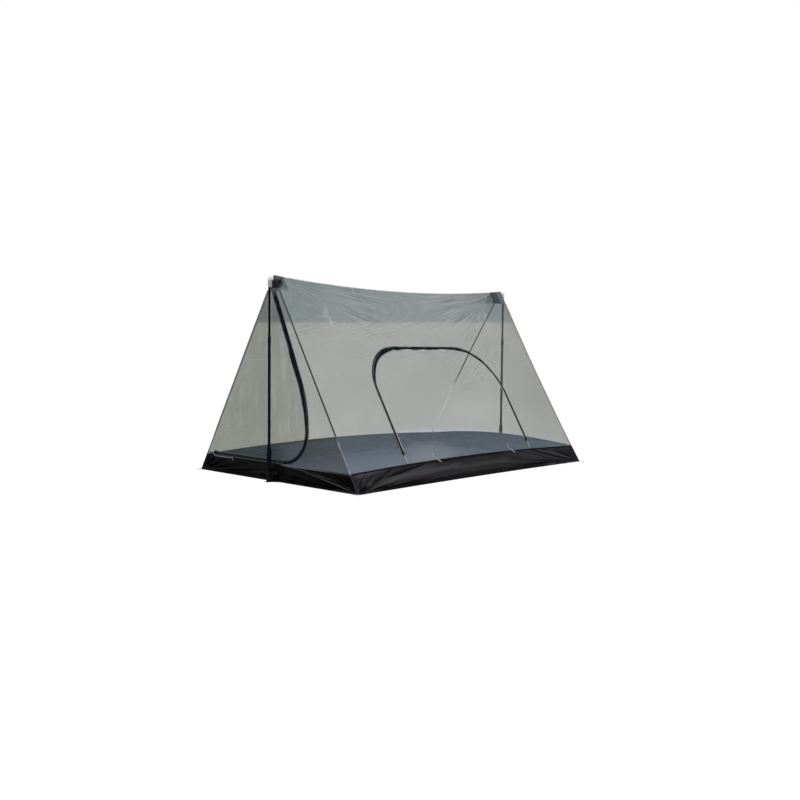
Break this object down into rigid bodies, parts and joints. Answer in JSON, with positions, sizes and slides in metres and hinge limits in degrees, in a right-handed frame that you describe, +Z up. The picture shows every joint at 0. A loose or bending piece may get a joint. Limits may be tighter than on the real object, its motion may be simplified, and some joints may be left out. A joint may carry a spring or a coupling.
{
  "type": "mosquito net tent",
  "caption": "A-shaped net canopy sewn to a low waterproof tub floor, with zipped side and end doors, held up by a telescopic pole at each end.",
  "frame": {"origin": "on the ground, at the middle of the tent's footprint", "axes": "+Z up, +Y along the ridge from the end door to the rear, +X towards the side door"},
  "size_m": [1.5072, 2.312, 1.2218],
  "materials": {
    "net": "fine grey-green see-through mesh",
    "tub_cloth": "black coated cloth, satin",
    "floor_cloth": "dark grey coated cloth, satin",
    "seam_binding": "dark bound seam, matte",
    "zip_tape": "black woven tape with a coil, matte",
    "patch_cloth": "dark grey doubled cloth, matte",
    "grey_webbing": "light grey webbing, matte",
    "black_webbing": "black webbing, matte",
    "pale_ribbon": "pale grey ribbon, soft sheen",
    "pole_tube": "black painted tube, satin",
    "slider_metal": "black painted cast metal, satin",
    "foam_grip": "black foam, matte",
    "foot_rubber": "black rubber, matte",
    "black_plastic": "black moulded plastic, satin"
  },
  "bodies": {
    "tent": {"apex_patch_front": "patch_cloth", "apex_patch_rear": "patch_cloth", "apex_pocket_front": "grey_webbing", "apex_pocket_rear": "grey_webbing", "apex_ring_tab": "black_webbing", "floor_sheet": "floor_cloth", "foot_strap_front": "black_webbing", "foot_strap_rear": "black_webbing", "front_door_band": "pale_ribbon", "front_zip_tape_fixed": "zip_tape", "net_front_left": "net", "net_front_right": "net", "net_left": "net", "net_rear": "net", "net_right": "net", "peg_loop_front_left": "black_webbing", "peg_loop_front_right": "black_webbing", "peg_loop_rear_left": "black_webbing", "peg_loop_rear_right": "black_webbing", "pole_front_foot": "foot_rubber", "pole_front_grip": "foam_grip", "pole_front_lower_tube": "pole_tube", "pole_rear_foot": "foot_rubber", "pole_rear_grip": "foam_grip", "pole_rear_lower_tube": "pole_tube", "ridge_seam": "seam_binding", "seam_front_left": "seam_binding", "seam_front_right": "seam_binding", "seam_rear_left": "seam_binding", "seam_rear_right": "seam_binding", "side_tie_front_ribbon": "pale_ribbon", "side_tie_front_toggle": "black_plastic", "side_tie_rear_ribbon": "pale_ribbon", "side_tie_rear_toggle": "black_plastic", "side_zip_tape_fixed": "zip_tape", "tub_binding_front": "seam_binding", "tub_binding_left": "seam_binding", "tub_binding_rear": "seam_binding", "tub_binding_right": "seam_binding", "tub_wall_front": "tub_cloth", "tub_wall_left": "tub_cloth", "tub_wall_rear": "tub_cloth", "tub_wall_right": "tub_cloth"},
    "front_door": {"front_door_net": "net", "front_zip_tape_door": "zip_tape"},
    "side_door": {"side_door_net": "net", "side_zip_tape_door": "zip_tape"},
    "front_slider": {"front_zip_slider": "slider_metal"},
    "front_pull": {"front_zip_pull": "pale_ribbon"},
    "side_slider_front": {"side_zip_front_slider": "slider_metal"},
    "side_pull_front": {"side_zip_front_pull": "pale_ribbon"},
    "side_slider_rear": {"side_zip_rear_slider": "slider_metal"},
    "side_pull_rear": {"side_zip_rear_pull": "pale_ribbon"},
    "front_pole_top": {"pole_front_upper_tube": "pole_tube", "pole_front_expander": "black_plastic"},
    "rear_pole_top": {"pole_rear_upper_tube": "pole_tube", "pole_rear_expander": "black_plastic"},
    "front_collar": {"pole_front_collar": "black_plastic"},
    "rear_collar": {"pole_rear_collar": "black_plastic"},
    "ring": {"apex_ring": "black_plastic"}
  },
  "joints": [
    {"name": "front_door_hinge", "type": "hinge", "parent": "tent", "child": "front_door", "pos_m": [-0.62163, -1.0997, 0.1348], "axis": [0.5109, 0, 0.8597], "range_deg": [0, 80]},
    {"name": "side_door_hinge", "type": "hinge", "parent": "tent", "child": "side_door", "pos_m": [0.62308, 0, 0.17209], "axis": [0, 1, 0], "range_deg": [0, 130]},
    {"name": "front_zip_slide", "type": "slide", "parent": "tent", "child": "front_slider", "axis": [1, 0, 0], "range_m": [0, 0.45]},
    {"name": "front_pull_hinge", "type": "hinge", "parent": "front_slider", "child": "front_pull", "pos_m": [-0.5809, -1.1041, 0.1214], "axis": [0, 0, 1], "range_deg": [0, 150]},
    {"name": "side_zip_slide_front", "type": "slide", "parent": "tent", "child": "side_slider_front", "axis": [-0.5109, 0, 0.8597], "range_m": [0, 0.33]},
    {"name": "side_pull_hinge_front", "type": "hinge", "parent": "side_slider_front", "child": "side_pull_front", "pos_m": [0.6216, -0.625, 0.18202], "axis": [0, -1, 0], "range_deg": [0, 150]},
    {"name": "side_zip_slide_rear", "type": "slide", "parent": "tent", "child": "side_slider_rear", "axis": [-0.5109, 0, 0.8597], "range_m": [0, 0.33]},
    {"name": "side_pull_hinge_rear", "type": "hinge", "parent": "side_slider_rear", "child": "side_pull_rear", "pos_m": [0.6216, 0.6, 0.18202], "axis": [0, -1, 0], "range_deg": [0, 150]},
    {"name": "front_pole_slide", "type": "slide", "parent": "tent", "child": "front_pole_top", "axis": [0, 0, 1], "range_m": [-0.33, 0]},
    {"name": "rear_pole_slide", "type": "slide", "parent": "tent", "child": "rear_pole_top", "axis": [0, 0, 1], "range_m": [-0.33, 0]},
    {"name": "front_collar_twist", "type": "hinge", "parent": "tent", "child": "front_collar", "pos_m": [0, -1.132, 0.842], "axis": [0, 0, 1], "range_deg": [0, 90]},
    {"name": "rear_collar_twist", "type": "hinge", "parent": "tent", "child": "rear_collar", "pos_m": [0, 1.132, 0.842], "axis": [0, 0, 1], "range_deg": [0, 90]},
    {"name": "ring_hinge", "type": "hinge", "parent": "tent", "child": "ring", "pos_m": [0.02933, -1.07, 1.17927], "axis": [0, -1, 0], "range_deg": [0, 100]}
  ]
}
